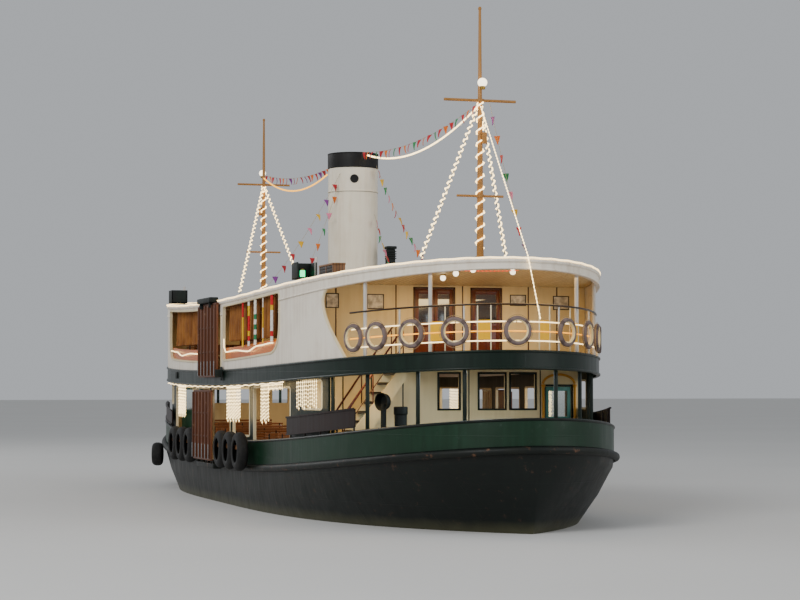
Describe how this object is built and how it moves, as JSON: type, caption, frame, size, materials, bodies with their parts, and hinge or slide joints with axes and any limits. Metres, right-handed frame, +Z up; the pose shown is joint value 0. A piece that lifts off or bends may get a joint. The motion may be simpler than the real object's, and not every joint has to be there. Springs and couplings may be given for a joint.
{
  "type": "double-ended passenger ferry",
  "caption": "Two-deck double-ended harbour ferry: full-bodied hull, round open ends, long side windows, a tall funnel amidships and a mast at each end.",
  "frame": {"origin": "on the waterline, amidships, on the centreline", "axes": "+X along the length towards end 1, +Y to port, +Z up"},
  "size_m": [33.8608, 9.88, 16.04],
  "materials": {
    "hull_paint": "semi-gloss black-green hull paint",
    "green_paint": "gloss dark green paint on steel",
    "strake_paint": "worn dark paint on the rubbing strake",
    "tyre_rubber": "worn black tyre rubber",
    "white_paint": "warm white gloss paint, lightly streaked",
    "cream_paint": "cream gloss paint",
    "dark_paint": "dark brown-black paint",
    "roof_paint": "matt pale roof paint",
    "varnished_wood": "varnished hardwood",
    "teal_paint": "teal gloss paint",
    "bronze": "cast bronze",
    "deck_iron": "black painted cast iron",
    "funnel_white": "white funnel paint",
    "funnel_black": "black funnel paint",
    "rail_paint": "dark red-brown rail paint, lifebuoys in white and red",
    "bench_wood": "slatted hardwood seats and floor boards",
    "box_black": "matt black screen paint"
  },
  "bodies": {
    "root": {"hull": "hull_paint", "rubbing_strake": "strake_paint", "upper_deck": "dark_paint", "roof": "roof_paint", "roof_fascia": "white_paint", "vent_trunk": "dark_paint", "upper_saloon_seats": "bench_wood", "main_cabin_seats": "bench_wood", "funnel_casing": "funnel_white", "funnel_cap": "funnel_black", "main_side_wall_starboard": "green_paint", "upper_side_wall_starboard": "white_paint", "tyre_fender_starboard_1": "tyre_rubber", "tyre_fender_starboard_2": "tyre_rubber", "sidelight_starboard_1": "box_black", "sidelight_starboard_2": "box_black", "main_side_wall_port": "green_paint", "upper_side_wall_port": "white_paint", "tyre_fender_port_1": "tyre_rubber", "tyre_fender_port_2": "tyre_rubber", "sidelight_port_1": "box_black", "sidelight_port_2": "box_black", "bulwark_1": "green_paint", "upper_deck_band_1": "green_paint", "main_end_wall_1": "cream_paint", "upper_end_wall_1": "cream_paint", "stair_1": "cream_paint", "end_posts_1": "dark_paint", "end_rail_1": "rail_paint", "mast_1": "white_paint", "mooring_post_1": "deck_iron", "deck_gear_1": "deck_iron", "roof_locker_1": "varnished_wood", "bulwark_2": "green_paint", "upper_deck_band_2": "green_paint", "main_end_wall_2": "cream_paint", "upper_end_wall_2": "cream_paint", "stair_2": "cream_paint", "end_posts_2": "dark_paint", "end_rail_2": "rail_paint", "mast_2": "white_paint", "mooring_post_2": "deck_iron", "deck_gear_2": "deck_iron", "roof_locker_2": "varnished_wood"},
    "upper_gangway_starboard": {"upper_gangway_starboard": "varnished_wood"},
    "lower_gangway_starboard": {"lower_gangway_starboard": "varnished_wood"},
    "upper_gangway_port": {"upper_gangway_port": "varnished_wood"},
    "lower_gangway_port": {"lower_gangway_port": "varnished_wood"},
    "saloon_door_starboard_1": {"saloon_door_starboard_1": "varnished_wood"},
    "saloon_door_port_1": {"saloon_door_port_1": "varnished_wood"},
    "cabin_door_1": {"cabin_door_1": "varnished_wood"},
    "main_deck_door_1": {"main_deck_door_1": "teal_paint"},
    "propeller_1": {"propeller_1": "bronze"},
    "rudder_1": {"rudder_1": "hull_paint"},
    "saloon_door_starboard_2": {"saloon_door_starboard_2": "varnished_wood"},
    "saloon_door_port_2": {"saloon_door_port_2": "varnished_wood"},
    "cabin_door_2": {"cabin_door_2": "varnished_wood"},
    "main_deck_door_2": {"main_deck_door_2": "teal_paint"},
    "propeller_2": {"propeller_2": "bronze"},
    "rudder_2": {"rudder_2": "hull_paint"}
  },
  "joints": [
    {"name": "upper_gangway_starboard_hinge", "type": "hinge", "parent": "root", "child": "upper_gangway_starboard", "pos_m": [0, -4.71, 3.88], "axis": [1, 0, 0], "range_deg": [0, 90]},
    {"name": "lower_gangway_starboard_hinge", "type": "hinge", "parent": "root", "child": "lower_gangway_starboard", "pos_m": [0, -4.88, 1.33], "axis": [1, 0, 0], "range_deg": [0, 90]},
    {"name": "upper_gangway_port_hinge", "type": "hinge", "parent": "root", "child": "upper_gangway_port", "pos_m": [0, 4.71, 3.88], "axis": [-1, 0, 0], "range_deg": [0, 90]},
    {"name": "lower_gangway_port_hinge", "type": "hinge", "parent": "root", "child": "lower_gangway_port", "pos_m": [0, 4.88, 1.33], "axis": [-1, 0, 0], "range_deg": [0, 90]},
    {"name": "saloon_door_starboard_1_hinge", "type": "hinge", "parent": "root", "child": "saloon_door_starboard_1", "pos_m": [9.652, -0.942, 5.2], "axis": [0, 0, -1], "range_deg": [0, 100]},
    {"name": "saloon_door_port_1_hinge", "type": "hinge", "parent": "root", "child": "saloon_door_port_1", "pos_m": [9.652, 0.142, 5.2], "axis": [0, 0, 1], "range_deg": [0, 100]},
    {"name": "cabin_door_1_hinge", "type": "hinge", "parent": "root", "child": "cabin_door_1", "pos_m": [9.652, 1.512, 5.2], "axis": [0, 0, 1], "range_deg": [0, 100]},
    {"name": "main_deck_door_1_hinge", "type": "hinge", "parent": "root", "child": "main_deck_door_1", "pos_m": [9.652, 3.612, 2.6], "axis": [0, 0, 1], "range_deg": [0, 90]},
    {"name": "propeller_1_shaft", "type": "hinge", "parent": "root", "child": "propeller_1", "pos_m": [14.48, 0, -1.62], "axis": [1, 0, 0], "continuous": true},
    {"name": "rudder_1_stock", "type": "hinge", "parent": "root", "child": "rudder_1", "pos_m": [15.4, 0, -1.5], "axis": [0, 0, 1], "range_deg": [-35, 35]},
    {"name": "saloon_door_starboard_2_hinge", "type": "hinge", "parent": "root", "child": "saloon_door_starboard_2", "pos_m": [-9.652, 0.942, 5.2], "axis": [0, 0, -1], "range_deg": [0, 100]},
    {"name": "saloon_door_port_2_hinge", "type": "hinge", "parent": "root", "child": "saloon_door_port_2", "pos_m": [-9.652, -0.142, 5.2], "axis": [0, 0, 1], "range_deg": [0, 100]},
    {"name": "cabin_door_2_hinge", "type": "hinge", "parent": "root", "child": "cabin_door_2", "pos_m": [-9.652, -1.512, 5.2], "axis": [0, 0, 1], "range_deg": [0, 100]},
    {"name": "main_deck_door_2_hinge", "type": "hinge", "parent": "root", "child": "main_deck_door_2", "pos_m": [-9.652, -3.612, 2.6], "axis": [0, 0, 1], "range_deg": [0, 90]},
    {"name": "propeller_2_shaft", "type": "hinge", "parent": "root", "child": "propeller_2", "pos_m": [-14.48, 0, -1.62], "axis": [-1, 0, 0], "continuous": true},
    {"name": "rudder_2_stock", "type": "hinge", "parent": "root", "child": "rudder_2", "pos_m": [-15.4, 0, -1.5], "axis": [0, 0, 1], "range_deg": [-35, 35]}
  ]
}
